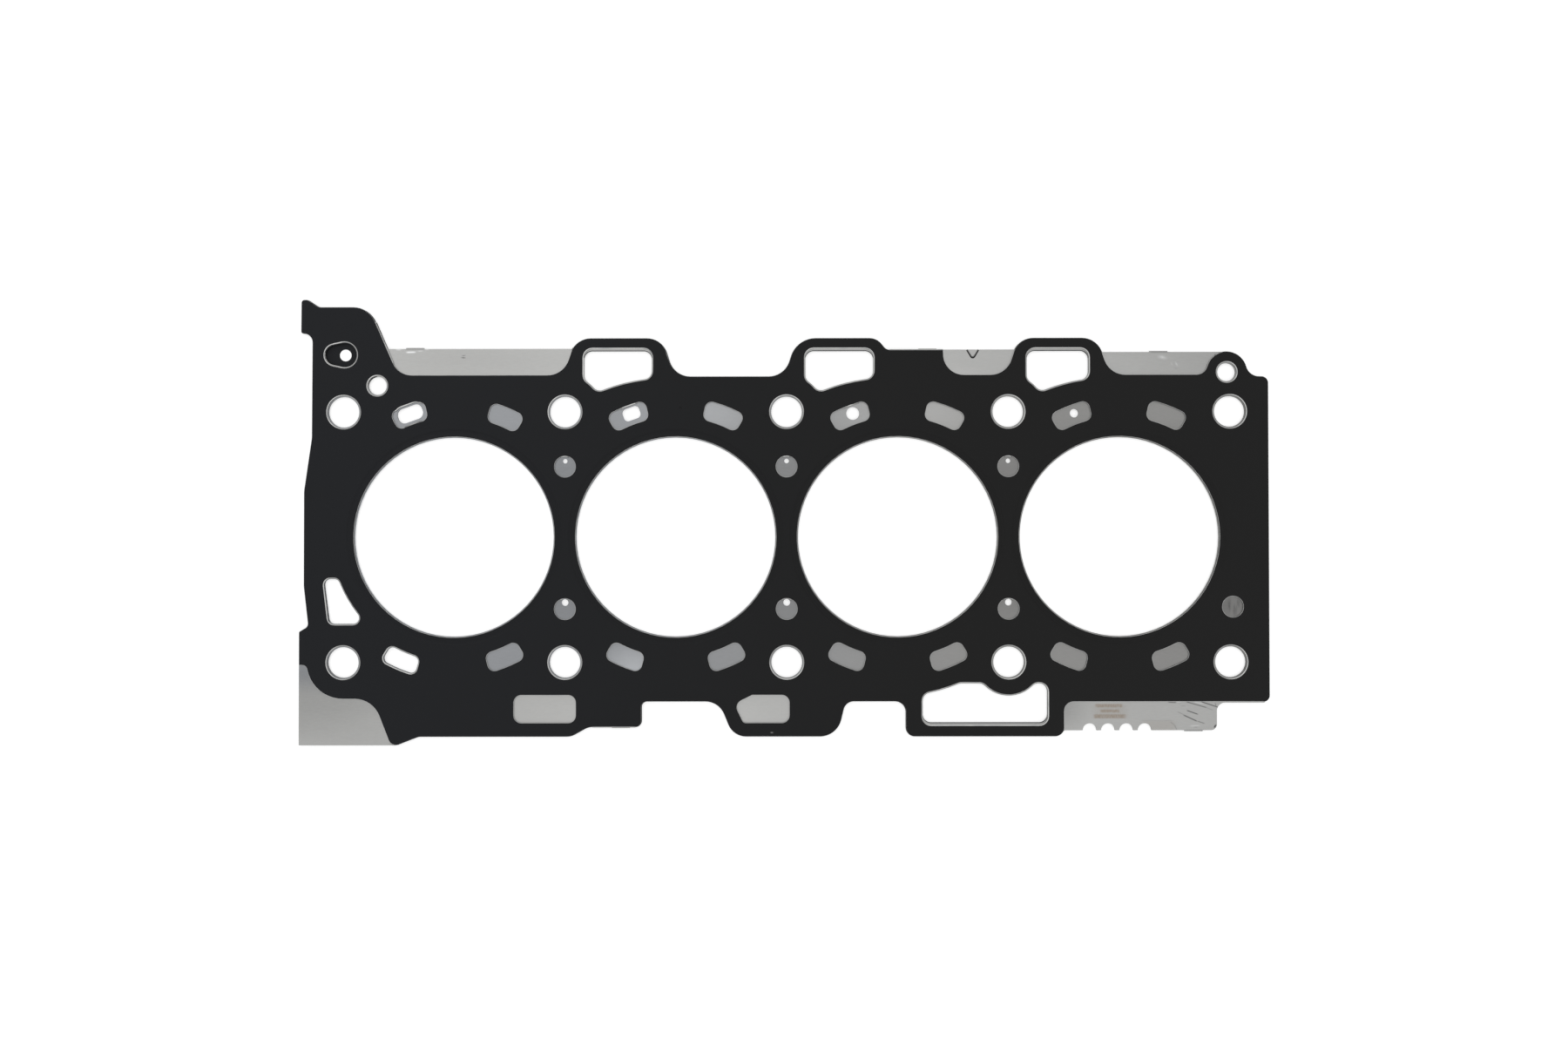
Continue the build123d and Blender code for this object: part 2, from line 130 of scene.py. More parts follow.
BRIGHT_SCUFFS = (
    (-163.0, 80.3, 1.5, 3.2, 0.35, 0.45, 0.15, 0.9),
    (-168.4, 81.4, 0.0, 1.5, 0.2, 0.4, 0.1, 0.55),
    (-158.9, 80.8, 4.0, 1.6, 0.2, 0.4, 0.1, 0.4),
    (-156.1, 81.6, 0.0, 1.2, 0.2, 0.4, 0.1, 0.5),
    (163.1, 77.8, -12.0, 0.9, 0.5, 1.0, 0.0, 0.6),
    (169.2, 74.8, -61.0, 0.9, 0.25, 0.5, 0.0, 0.4),
    (167.1, 74.9, -64.0, 1.0, 0.15, 0.4, 0.1, 0.18),
    (176.5, -81.9, 2.0, 3.0, 0.25, 0.5, 0.2, 0.3),
    (169.6, -71.7, 0.0, 1.4, 0.2, 0.35, 0.1, 0.4),
    (178.2, -72.0, -8.0, 3.2, 0.15, 0.3, 0.15, 0.4),
)
# The stubs of the carrier strip, painted darker than the plate.
STUB_DARK_MARKS = (
    (-161.2, 81.9, 0.0, 8.0, 0.9, 0.5, 0.1, 0.30),
    (61.2, 81.4, 0.0, 8.0, 0.6, 0.5, 0.1, 0.15),
    (162.0, 80.1, 0.0, 8.0, 0.5, 0.5, 0.1, 0.34),
    (-71.8, -82.1, 0.0, 8.0, 0.6, 0.5, 0.1, 0.1),
    (176.6, -84.0, 0.0, 8.0, 0.5, 0.5, 0.1, 0.34),
)
# Ink-jet rows on the notched bar: place x and y, length and height. A mark round them and a stain.
INK_ROWS = (
    (139.3, -73.2, 11.3, 1.35),
    (139.7, -75.5, 8.0, 1.2),
    (139.75, -77.75, 13.3, 1.6),
)
INK_HALO = (139.7, -75.5, 0.0, 11.5, 4.8, 1.6, 0.0, 0.36)
BAR_STAIN = (160.8, -81.7, 0.0, 13.0, 3.6, 0.8, 0.0, 1.0)
# Where the black has come off the edges of the coated sheets.
COATING_CHIPS = (
    (-176.2, 89.8, -63.4, 11.0, 0.7, 0.3, 0.55, 1.0),
    (-51.4, 78.6, -72.0, 3.0, 0.6, 0.3, 0.5, 0.9),
    (-127.0, -86.3, 0.0, 64.0, 0.2, 0.2, 0.9, 0.6),
    (-1.0, -86.2, 0.0, 30.0, 0.2, 0.2, 0.9, 0.6),
    (-6.5, -84.6, 0.0, 0.5, 0.4, 0.3, 0.0, 0.5),
)
# The V scribed in the second strip, painted near-black as shade in its groove: its two arms and its foot,
# and the field that holds them.
SCRIBED_MARK = (
    (79.3, 79.6, -53.6, 3.5, 0.4, 0.16, 0.0, 1.0),
    (82.25, 79.6, 53.6, 3.5, 0.4, 0.16, 0.0, 1.0),
    (80.8, 78.0, 0.0, 0.9, 0.5, 0.16, 0.0, 1.0),
)
SCRIBED_FIELD = (80.8, 79.0, 0.0, 6.4, 3.8, 0.2, 0.0, 1.0)
# Painted patches of reflection, where the rolled face is painted lighter or darker: place x and y, reach
# in x and y, gain.
PAINTED_SHEEN_PATCHES = (
    (57.0, 54.0, 62.0, 24.0, 0.45),
    (-36.0, 54.0, 40.0, 22.0, 0.30),
    (-66.0, -60.0, 20.0, 18.0, 0.55),
    (-205.0, -70.0, 70.0, 28.0, -0.23),
    (-140.0, 78.0, 70.0, 16.0, -0.10),
    (-60.0, -78.0, 85.0, 16.0, 0.14),
    (118.0, -74.0, 18.0, 14.0, -0.24),
    (180.0, -78.0, 50.0, 20.0, 0.02),
    (150.0, 75.0, 45.0, 15.0, 0.06),
    (165.0, 54.0, 60.0, 14.0, 0.12),
)

# ---- settings ----


class CoatingSettings(bpy.types.PropertyGroup):
    """The black rubber coating of the outer sheets."""

    cool_black: bpy.props.FloatVectorProperty(
        name="Cool black",
        description="Colour of the coating at the horn end",
        subtype="COLOR",
        size=3,
        default=(0.0072, 0.0080, 0.0098),
    )
    plain_black: bpy.props.FloatVectorProperty(
        name="Plain black",
        description="Colour of the coating at the other end",
        subtype="COLOR",
        size=3,
        default=(0.0060, 0.0060, 0.0060),
    )
    roughness: bpy.props.FloatProperty(
        name="Roughness",
        description="How matte the coating is",
        subtype="FACTOR",
        min=0.0,
        max=1.0,
        default=0.62,
    )
    grain: bpy.props.FloatProperty(
        name="Grain",
        description="Size of the finest texture of the rubber",
        unit="LENGTH",
        default=0.35 * MM,
    )


class SteelSettings(bpy.types.PropertyGroup):
    """The bare rolled steel of the spacer, the stopper rings and the cut edges."""

    # The step from dull to bright steel is painted reflection: lighter along the long edges, darker round
    # the bores.
    bright: bpy.props.FloatVectorProperty(
        name="Bright steel",
        description="Colour of the steel along the two long edges",
        subtype="COLOR",
        size=3,
        default=(0.40, 0.40, 0.392),
    )
    dull: bpy.props.FloatVectorProperty(
        name="Dull steel",
        description="Colour of the steel round the bores, at the horn end",
        subtype="COLOR",
        size=3,
        default=(0.262, 0.270, 0.282),
    )
    dull_warm: bpy.props.FloatVectorProperty(
        name="Warm dull steel",
        description="Colour of the steel round the bores, at the other end",
        subtype="COLOR",
        size=3,
        default=(0.256, 0.254, 0.248),
    )
    # The scribed mark itself is painted near-black as shade in its groove, not with this colour.
    dirt: bpy.props.FloatVectorProperty(
        name="Dirt",
        description="Colour of the scuffs and of the dirt in the scribed mark",
        subtype="COLOR",
        size=3,
        default=(0.03, 0.03, 0.032),
    )
    ink: bpy.props.FloatVectorProperty(
        name="Ink",
        description="Colour of the stamped rows on the notched bar",
        subtype="COLOR",
        size=3,
        default=(0.235, 0.185, 0.14),
    )
    scratch: bpy.props.FloatVectorProperty(
        name="Scratch",
        description="Colour of the fresh bright scuffs",
        subtype="COLOR",
        size=3,
        default=(0.80, 0.81, 0.82),
    )
    # Painted light: the walls of the bores are painted lighter than the rolled face.
    bore_wall_painted_light: bpy.props.FloatProperty(
        name="Bore wall tone",
        description="Tone of the fine-cut walls of the bores, as a share of the rolled face's",
        subtype="FACTOR",
        min=0.0,
        max=2.0,
        default=2.0,
    )
    # Painted shade: the other cut walls are painted darker than the rolled face.
    wall_painted_shade: bpy.props.FloatProperty(
        name="Wall tone",
        description="Tone of the sheared walls, as a share of the rolled face's",
        subtype="FACTOR",
        min=0.0,
        max=1.0,
        default=0.3,
    )
    roughness: bpy.props.FloatProperty(
        name="Roughness",
        description="How dull the rolled face is",
        subtype="FACTOR",
        min=0.0,
        max=1.0,
        default=0.42,
    )
    edge_line: bpy.props.FloatProperty(
        name="Edge line",
        description="Width of the bare steel that shows where a coated sheet ends on the spacer",
        unit="LENGTH",
        default=0.13 * MM,
    )
    ledge_line: bpy.props.FloatProperty(
        name="Ledge line",
        description="Width of the bright part of the spacer's ledge round an opening",
        unit="LENGTH",
        default=0.42 * MM,
    )
    # Painted shade along the outline and the narrow ledges.
    outline_shade_width: bpy.props.FloatProperty(
        name="Outline rim",
        description="Width of the dark edge of the spacer along the outline and the narrow ledges",
        unit="LENGTH",
        default=0.26 * MM,
    )
    # Painted shade on the outer side of each port.
    port_shade_width: bpy.props.FloatProperty(
        name="Port rim",
        description="Width of the dark sheared rim on the outer side of each port",
        unit="LENGTH",
        default=0.32 * MM,
    )


class StageSettings(bpy.types.PropertyGroup):
    """The floor, the lamps and the camera."""

    camera_height: bpy.props.FloatProperty(
        name="Camera height",
        description="Height of the camera over the upper sheet",
        unit="LENGTH",
        default=0.5,
    )
    field_width: bpy.props.FloatProperty(
        name="Field width",
        description="Width of what the camera sees at the upper sheet",
        unit="LENGTH",
        default=0.67875,
    )
    camera_x: bpy.props.FloatProperty(
        name="Camera X",
        description="Place of the camera along the row of cylinders",
        unit="LENGTH",
        default=-0.83 * MM,
    )
    camera_y: bpy.props.FloatProperty(
        name="Camera Y",
        description="Place of the camera across the row of cylinders",
        unit="LENGTH",
        default=1.05 * MM,
    )
    camera_turn: bpy.props.FloatVectorProperty(
        name="Camera turn",
        description="Small turns of the camera away from straight down",
        subtype="EULER",
        unit="ROTATION",
        size=3,
        default=(0.01032, 0.00063, -0.00101),
    )
    lamp_power: bpy.props.FloatProperty(
        name="Lamp power",
        description="Power of the large soft lamp",
        unit="POWER",
        default=4.5,
    )
    sky: bpy.props.FloatProperty(
        name="Sky",
        description="Strength of the even light from all round",
        default=0.8,
    )
    floor_size: bpy.props.FloatProperty(
        name="Floor size",
        description="Side of the square floor",
        unit="LENGTH",
        default=8.0,
    )


# ---- helpers for node trees ----


def node(tree, kind, label="", **values):
    """A node with its settings; a key that names an input sets that socket, or links it."""
    made = tree.nodes.new(kind)
    made.label = label
    for key, value in values.items():
        if hasattr(made, key):
            setattr(made, key, value)
            continue
        name = key.replace("_", " ")
        numbered = key.startswith("in") and key[2:].isdigit()
        socket = made.inputs[int(key[2:])] if numbered else made.inputs[name]
        if isinstance(value, bpy.types.NodeSocket):
            tree.links.new(value, socket)
        else:
            socket.default_value = value
    return made


def math(tree, operation, first, second=0.0, clamp=False):
    """One sum on two values or sockets, as an output socket."""
    made = node(tree, "ShaderNodeMath", operation=operation, use_clamp=clamp, in0=first, in1=second)
    return made.outputs[0]


def blend(tree, factor, first, second, blend_type="MIX"):
    """A colour mix of two colours or sockets, as an output socket."""
    mixed = node(tree, "ShaderNodeMix", data_type="RGBA", blend_type=blend_type)
    for socket, value in ((mixed.inputs[0], factor), (mixed.inputs[6], first), (mixed.inputs[7], second)):
        if isinstance(value, bpy.types.NodeSocket):
            tree.links.new(value, socket)
        elif isinstance(value, (int, float)):
            socket.default_value = value
        else:
            socket.default_value = (*value, 1.0)
    return mixed.outputs[2]


def grey(tree, value):
    """One value as an even grey, as an output socket."""
    return node(tree, "ShaderNodeCombineColor", Red=value, Green=value, Blue=value).outputs[0]


def ramp(tree, value, low, high, to_low=0.0, to_high=1.0, smooth=True):
    """Takes a value from one range to another, with soft or straight ends, as an output socket."""
    kind = "SMOOTHSTEP" if smooth else "LINEAR"
    made = node(tree, "ShaderNodeMapRange", interpolation_type=kind, clamp=True)
    for index, given in enumerate((value, low, high, to_low, to_high)):
        if isinstance(given, bpy.types.NodeSocket):
            tree.links.new(given, made.inputs[index])
        else:
            made.inputs[index].default_value = given
    return made.outputs[0]


def new_group(name, inputs, outputs):
    """An empty shader node group with its named sockets, and its two end nodes."""
    group = bpy.data.node_groups.new(name, "ShaderNodeTree")
    for label, kind, default in inputs:
        socket = group.interface.new_socket(label, in_out="INPUT", socket_type=kind)
        if default is not None:
            socket.default_value = default
    for label, kind in outputs:
        group.interface.new_socket(label, in_out="OUTPUT", socket_type=kind)
    return group, group.nodes.new("NodeGroupInput"), group.nodes.new("NodeGroupOutput")


def place_group(tree, group, **values):
    """A group in a material, with its own values."""
    made = tree.nodes.new("ShaderNodeGroup")
    made.node_tree = group
    made.label = group.name
    for key, value in values.items():
        socket = made.inputs[key.replace("_", " ")]
        if isinstance(value, bpy.types.NodeSocket):
            tree.links.new(value, socket)
        else:
            socket.default_value = value
    return made


def mark_group():
    """A straight mark in the middle of its coordinates: a soft-edged bar, broken up by noise."""
    group, start, end = new_group(
        "Mark",
        (
            ("Vector", "NodeSocketVector", None),
            ("Length", "NodeSocketFloat", 4 * MM),
            ("Width", "NodeSocketFloat", 0.5 * MM),
            ("Softness", "NodeSocketFloat", 0.25 * MM),
            ("Break", "NodeSocketFloat", 0.3),
            ("Strength", "NodeSocketFloat", 1.0),
        ),
        (("Mask", "NodeSocketFloat"),),
    )
    place = node(group, "ShaderNodeSeparateXYZ", Vector=start.outputs["Vector"])
    sides = []
    for axis, size, taper in ((0, "Length", 2.5), (1, "Width", 1.0)):
        away = math(group, "ABSOLUTE", place.outputs[axis])
        edge = math(group, "MULTIPLY", start.outputs[size], 0.5)
        past = math(group, "SUBTRACT", away, edge)
        soft = math(group, "MULTIPLY", start.outputs["Softness"], taper)
        inside = ramp(group, past, soft, math(group, "MULTIPLY", soft, -0.6))
        sides.append(inside)
    bar = math(group, "MULTIPLY", *sides)
    noise = node(group, "ShaderNodeTexNoise", Vector=start.outputs["Vector"], Scale=1600.0, Detail=3.0)
    worn = math(group, "MULTIPLY", start.outputs["Break"], 0.62)
    grown = math(group, "ADD", worn, 0.12)
    kept = ramp(group, noise.outputs["Fac"], worn, grown)
    broken = math(group, "MULTIPLY", bar, kept)
    group.links.new(math(group, "MULTIPLY", broken, start.outputs["Strength"]), end.inputs["Mask"])
    return group


def grain_group():
    """Fine uneven tone of a face: broad clouds and a fine grain, each round zero, and a height."""
    group, start, end = new_group(
        "Surface grain",
        (
            ("Vector", "NodeSocketVector", None),
            ("Cloud size", "NodeSocketFloat", 20 * MM),
            ("Grain size", "NodeSocketFloat", 0.35 * MM),
            ("Stretch", "NodeSocketFloat", 1.0),
        ),
        (("Cloud", "NodeSocketFloat"), ("Grain", "NodeSocketFloat"), ("Height", "NodeSocketFloat")),
    )
    along = math(group, "DIVIDE", 1.0, start.outputs["Stretch"])
    squeeze = node(group, "ShaderNodeCombineXYZ", X=along, Y=1.0, Z=1.0)
    stretched = node(group, "ShaderNodeVectorMath", operation="MULTIPLY")
    group.links.new(start.outputs["Vector"], stretched.inputs[0])
    group.links.new(squeeze.outputs[0], stretched.inputs[1])
    for size, label, detail in (("Cloud size", "Cloud", 2.0), ("Grain size", "Grain", 3.0)):
        scale = math(group, "DIVIDE", 1.0, start.outputs[size])
        noise = node(group, "ShaderNodeTexNoise", Vector=stretched.outputs[0], Scale=scale, Detail=detail)
        group.links.new(math(group, "SUBTRACT", noise.outputs["Fac"], 0.5), end.inputs[label])
        if label == "Grain":
            group.links.new(noise.outputs["Fac"], end.inputs["Height"])
    return group


def wall_group():
    """Where a plate was cut through: its upright walls, as a mask."""
    group, start, end = new_group("Cut wall", (), (("Mask", "NodeSocketFloat"),))
    facing = node(group, "ShaderNodeNewGeometry")
    upright = node(group, "ShaderNodeSeparateXYZ", Vector=facing.outputs["True Normal"])
    lean = math(group, "ABSOLUTE", upright.outputs["Z"])
    group.links.new(ramp(group, lean, 0.5, 0.3), end.inputs["Mask"])
    return group


def marks_mask(tree, coordinates, group, marks):
    """All the marks of one kind on a face as one mask."""
    total = None
    for x, y, turn, length, width, softness, broken, strength in marks:
        centred = node(
            tree,
            "ShaderNodeMapping",
            vector_type="TEXTURE",
            Vector=coordinates,
            Location=(x * MM, y * MM, 0.0),
            Rotation=(0.0, 0.0, radians(turn)),
        )
        mark = place_group(
            tree,
            group,
            Vector=centred.outputs[0],
            Length=length * MM,
            Width=width * MM,
            Softness=softness * MM,
            Break=broken,
            Strength=strength,
        )
        mask = mark.outputs["Mask"]
        total = mask if total is None else math(tree, "MAXIMUM", total, mask)
    return total


def new_material(name):
    """A material, its node tree, its Principled BSDF and the object's coordinates."""
    material = bpy.data.materials.new(name)
    material.use_nodes = True
    tree = material.node_tree
    shader = tree.nodes["Principled BSDF"]
    coordinates = tree.nodes.new("ShaderNodeTexCoord").outputs["Object"]
    return material, tree, shader, coordinates


def finish_nodes(names, material):
    """Gives CAD nodes their finish through the slots of their objects."""
    for name in names:
        piece = frame["nodes"][name]
        for slot in piece.material_slots:
            slot.link = "OBJECT"
            slot.material = material


# ---- materials ----


def coating_material(settings, groups):
    """Matte black rubber on steel, with bare walls where it was punched and a few chips."""
    material, tree, shader, place = new_material("black_rubber_coating")
    axes = node(tree, "ShaderNodeSeparateXYZ", Vector=place)
    along = ramp(tree, axes.outputs["X"], -LENGTH_HALF, LENGTH_HALF / 2)
    colour = blend(tree, along, settings.cool_black, settings.plain_black)
    grain = place_group(tree, groups["grain"], Vector=place, Cloud_size=30 * MM, Grain_size=settings.grain)
    clouds = math(tree, "MULTIPLY", grain.outputs["Cloud"], 0.35)
    fine = math(tree, "MULTIPLY", grain.outputs["Grain"], 0.9)
    uneven = math(tree, "ADD", math(tree, "ADD", clouds, fine), 1.0)
    toned = blend(tree, 1.0, colour, grey(tree, uneven), "MULTIPLY")
    walls = place_group(tree, groups["wall"]).outputs["Mask"]
    chips = marks_mask(tree, place, groups["mark"], COATING_CHIPS)
    bare = math(tree, "MAXIMUM", walls, chips)
    steel = bpy.context.scene.gasket_steel
    tree.links.new(blend(tree, bare, toned, steel.bright), shader.inputs["Base Color"])
    rough = math(tree, "ADD", math(tree, "MULTIPLY", grain.outputs["Cloud"], 0.12), settings.roughness)
    tree.links.new(rough, shader.inputs["Roughness"])
    tree.links.new(math(tree, "MULTIPLY", bare, 0.9), shader.inputs["Metallic"])
    shader.inputs["Specular IOR Level"].default_value = 0.16
    bump = node(tree, "ShaderNodeBump", Strength=0.35, Distance=0.02 * MM, Height=grain.outputs["Height"])
    tree.links.new(bump.outputs[0], shader.inputs["Normal"])
    return material


def steel_tone(settings, tree, place, axes, groups):
    """The rolled face's colour with painted reflection: bright along the long edges, dull between, with
    soft painted patches of sheen.
    """
    # Painted reflection: lighter along the long edges, darker round the bores and a little darker towards
    # the +X end.
    far = math(tree, "ABSOLUTE", axes.outputs["Y"])
    outer = ramp(tree, far, 58 * MM, 70 * MM)
    along = ramp(tree, axes.outputs["X"], -LENGTH_HALF / 2, LENGTH_HALF / 2)
    windows = blend(tree, along, settings.dull, settings.dull_warm)
    colour = blend(tree, outer, windows, settings.bright)
    fading = ramp(tree, axes.outputs["X"], LENGTH_HALF / 4, LENGTH_HALF, 1.0, 0.85)
    between = ramp(tree, far, 28 * MM, 50 * MM, 0.82, 1.0)
    gain = math(tree, "MULTIPLY", fading, between)
    # Soft painted patches of reflection, lighter or darker.
    for x, y, reach_x, reach_y, amount in PAINTED_SHEEN_PATCHES:
        centred = node(
            tree,
            "ShaderNodeMapping",
            vector_type="TEXTURE",
            Vector=place,
            Location=(x * MM, y * MM, 0.0),
            Scale=(reach_x * MM, reach_y * MM, 1.0),
        )
        distance = node(tree, "ShaderNodeVectorMath", operation="LENGTH", in0=centred.outputs[0])
        patch = ramp(tree, distance.outputs["Value"], 1.0, 0.0, 0.0, amount)
        gain = math(tree, "ADD", patch, gain)
    grain = place_group(
        tree, groups["grain"], Vector=place, Cloud_size=14 * MM, Grain_size=0.5 * MM, Stretch=4.0
    )
    clouds = math(tree, "MULTIPLY", grain.outputs["Cloud"], 0.10)
    fine = math(tree, "MULTIPLY", grain.outputs["Grain"], 0.10)
    gain = math(tree, "ADD", gain, math(tree, "ADD", clouds, fine))
    return blend(tree, 1.0, colour, grey(tree, gain), "MULTIPLY"), grain


def ink_mask(tree, place, groups):
    """Blurred plain rows, as an ink-jet stamp leaves on the notched bar, with no letters."""
    rows = [(x, y, 0.0, length, height, 0.45, 0.1, 1.0) for x, y, length, height in INK_ROWS]
    rows.append(INK_HALO)
    mask = marks_mask(tree, place, groups["mark"], rows)
    scale = (1900.0, 700.0, 1.0)
    stretched = node(tree, "ShaderNodeMapping", vector_type="POINT", Vector=place, Scale=scale)
    noise = node(tree, "ShaderNodeTexNoise", Vector=stretched.outputs[0], Scale=1.0, Detail=2.0)
    return math(tree, "MULTIPLY", mask, ramp(tree, noise.outputs["Fac"], 0.3, 0.6, 0.6, 1.0))


def port_dirt(tree, place, groups):
    """Upright streaks of dirt on the spacer in the round port past the last bore, darker as well towards
    the port's left side.
    """
    spot = (*ROUND_END_PORT, 0.0, 4.5, 4.5, 4.0, 0.0, 1.0)
    near = marks_mask(tree, place, groups["mark"], (spot,))
    scale = (900.0, 130.0, 1.0)
    streaks = node(tree, "ShaderNodeMapping", vector_type="POINT", Vector=place, Scale=scale)
    noise = node(tree, "ShaderNodeTexNoise", Vector=streaks.outputs[0], Scale=1.0, Detail=4.0)
    lines = ramp(tree, noise.outputs["Fac"], 0.42, 0.66, 0.15, 0.85)
    axes = node(tree, "ShaderNodeSeparateXYZ", Vector=place)
    middle = ROUND_END_PORT[0]
    left = ramp(tree, axes.outputs["X"], (middle - 0.6) * MM, (middle - 2.2) * MM, 0.0, 0.45)
    dirt = math(tree, "MAXIMUM", lines, left)
    return math(tree, "MULTIPLY", near, dirt)


def scribed_shade_mask(tree, place, axes, groups):
    """The V scribed in the spacer, painted as shade in its groove: its lines on the face and everything
    below the face inside it.
    """
    lines = marks_mask(tree, place, groups["mark"], SCRIBED_MARK)
    below = ramp(tree, axes.outputs["Z"], SPACER_HIGH.z - 0.02 * MM, SPACER_HIGH.z - 0.06 * MM)
    near = marks_mask(tree, place, groups["mark"], (SCRIBED_FIELD,))
    above = ramp(tree, axes.outputs["Z"], SPACER_LOW.z + 0.1 * MM, SPACER_LOW.z + 0.2 * MM)
    inside = math(tree, "MULTIPLY", math(tree, "MULTIPLY", below, near), above)
    return math(tree, "MAXIMUM", math(tree, "MULTIPLY", lines, above), inside)


def steel_material(settings, groups):
    """Bare rolled steel, with scuffs, the ink-jet rows and the dirt of handling, painted reflection on the
    face, painted shade in the scribed groove and on the cut walls, and painted light on the bore walls.
    """
    material, tree, shader, place = new_material("bare_rolled_steel")
    axes = node(tree, "ShaderNodeSeparateXYZ", Vector=place)
    colour, grain = steel_tone(settings, tree, place, axes, groups)
    walls = place_group(tree, groups["wall"]).outputs["Mask"]
    top_only = math(tree, "SUBTRACT", 1.0, walls, clamp=True)
    on_top = math(tree, "MULTIPLY", top_only, ramp(tree, axes.outputs["Z"], 0.7 * MM, 0.8 * MM))
    mark = groups["mark"]
    for mask, tone, amount in (
        (marks_mask(tree, place, mark, STUB_DARK_MARKS), settings.dirt, 1.0),
        (marks_mask(tree, place, mark, (BAR_STAIN,)), settings.ink, 0.16),
        (ink_mask(tree, place, groups), settings.ink, 0.75),
        (marks_mask(tree, place, mark, BRIGHT_SCUFFS), settings.scratch, 0.9),
        (marks_mask(tree, place, mark, DARK_SCUFFS), settings.dirt, 1.0),
        (port_dirt(tree, place, groups), settings.dirt, 0.75),
    ):
        shown = math(tree, "MULTIPLY", math(tree, "MULTIPLY", mask, on_top), amount)
        colour = blend(tree, shown, colour, tone)
    # Painted shade in the scribed groove.
    colour = blend(tree, scribed_shade_mask(tree, place, axes, groups), colour, SCRIBED_GROOVE_SHADE)
    far = math(tree, "ABSOLUTE", axes.outputs["Y"])
    # Painted light on the bore walls and painted shade on the other cut walls.
    painted_wall_tone = ramp(tree, far, 44 * MM, 48 * MM, settings.bore_wall_painted_light, settings.wall_painted_shade)
    sheared = blend(tree, 1.0, colour, grey(tree, painted_wall_tone), "MULTIPLY")
    tree.links.new(blend(tree, walls, colour, sheared), shader.inputs["Base Color"])
    shader.inputs["Metallic"].default_value = METALLIC
    rough = math(tree, "ADD", math(tree, "MULTIPLY", grain.outputs["Cloud"], 0.15), settings.roughness)
    tree.links.new(rough, shader.inputs["Roughness"])
    bump = node(tree, "ShaderNodeBump", Strength=0.25, Distance=0.01 * MM, Height=grain.outputs["Height"])
    tree.links.new(bump.outputs[0], shader.inputs["Normal"])
    return material


def band_strength(tree):
    """The strength that a band carries at each of its points."""
    return node(tree, "ShaderNodeAttribute", attribute_name="strength").outputs["Fac"]


def edge_material(settings, groups, name, gain):
    """The bare punched edge of a coated sheet: bright steel with darker stretches, painted lighter by the
    gain where the band's strength is full.
    """
    material, tree, shader, place = new_material(name)
    grain = place_group(tree, groups["grain"], Vector=place, Cloud_size=6 * MM, Grain_size=0.8 * MM)
    clouds = ramp(tree, grain.outputs["Cloud"], -0.1, 0.25, 0.0, 0.5)
    worn = blend(tree, clouds, settings.bright, settings.dull)
    lit = blend(tree, 1.0, worn, (gain, gain, gain), "MULTIPLY")
    plain = blend(tree, 1.0, worn, (0.8, 0.8, 0.8), "MULTIPLY")
    tree.links.new(blend(tree, band_strength(tree), plain, lit), shader.inputs["Base Color"])
    shader.inputs["Metallic"].default_value = METALLIC
    tree.links.new(ramp(tree, grain.outputs["Cloud"], -0.3, 0.3, 0.35, 0.55), shader.inputs["Roughness"])
    return material


def rim_material(settings, groups):
    """Painted shade: a dark rim on the plate, along the outline and the outer sides of the ports, blending
    to bright steel where the band's strength is none.
    """
    material, tree, shader, place = new_material("sheared_rim_steel")
    grain = place_group(tree, groups["grain"], Vector=place, Cloud_size=8 * MM, Grain_size=0.6 * MM)
    tone = ramp(tree, grain.outputs["Grain"], -0.2, 0.3, 0.2, 0.36)
    dark = blend(tree, 1.0, settings.dull, grey(tree, tone), "MULTIPLY")
    tree.links.new(blend(tree, band_strength(tree), settings.bright, dark), shader.inputs["Base Color"])
    shader.inputs["Metallic"].default_value = 0.6
    tree.links.new(ramp(tree, grain.outputs["Cloud"], -0.3, 0.3, 0.45, 0.6), shader.inputs["Roughness"])
    return material


GROUPS = {}


def groups():
    """The node groups that the materials share, built the first time they are asked for."""
    if not GROUPS:
        for key, build in (("mark", mark_group), ("grain", grain_group), ("wall", wall_group)):
            GROUPS[key] = build()
    return GROUPS


# ---- pieces ----


def deselect():
    """Leaves nothing selected, so that the next operator acts on its own piece."""
    bpy.ops.object.select_all(action="DESELECT")


